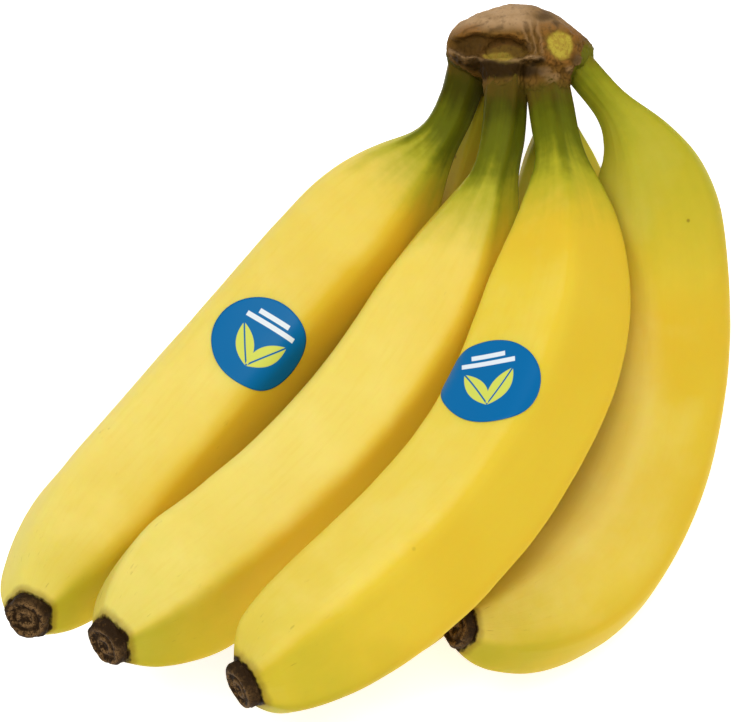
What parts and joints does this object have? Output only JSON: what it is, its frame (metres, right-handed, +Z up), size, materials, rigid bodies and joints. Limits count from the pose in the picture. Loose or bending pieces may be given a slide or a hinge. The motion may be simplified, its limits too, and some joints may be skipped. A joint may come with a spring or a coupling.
{
  "type": "bunch of bananas",
  "caption": "Bunch of ripe curved fruit on green stalks that grow from one cut woody crown, lying on their backs with the dry tips raised, with small blue paper labels.",
  "frame": {"origin": "under the middle of the bunch's bounding box, on the surface that it lies on", "axes": "+Z up from the surface, +Y from the dry tips towards the crown, +X to the right along the front row as seen with the crown at the top"},
  "size_m": [0.1882, 0.2034, 0.1141],
  "materials": {
    "peel": "waxy yellow peel with a soft gloss, green at the stalks, faintly speckled",
    "crown_skin": "dull brown corky skin, yellow-green where it is cut",
    "dry_tip": "rough, dry and nearly black",
    "label_paper": "blue glossy paper with two pale bars over two pale green leaves"
  },
  "bodies": {
    "root": {"crown": "crown_skin", "banana_1": "peel", "banana_2": "peel", "banana_3": "peel", "banana_4": "peel", "banana_5": "peel", "banana_6": "peel", "tip_1": "dry_tip", "tip_2": "dry_tip", "tip_3": "dry_tip", "tip_4": "dry_tip", "tip_5": "dry_tip", "tip_6": "dry_tip", "label_1": "label_paper", "label_3": "label_paper"}
  },
  "joints": []
}
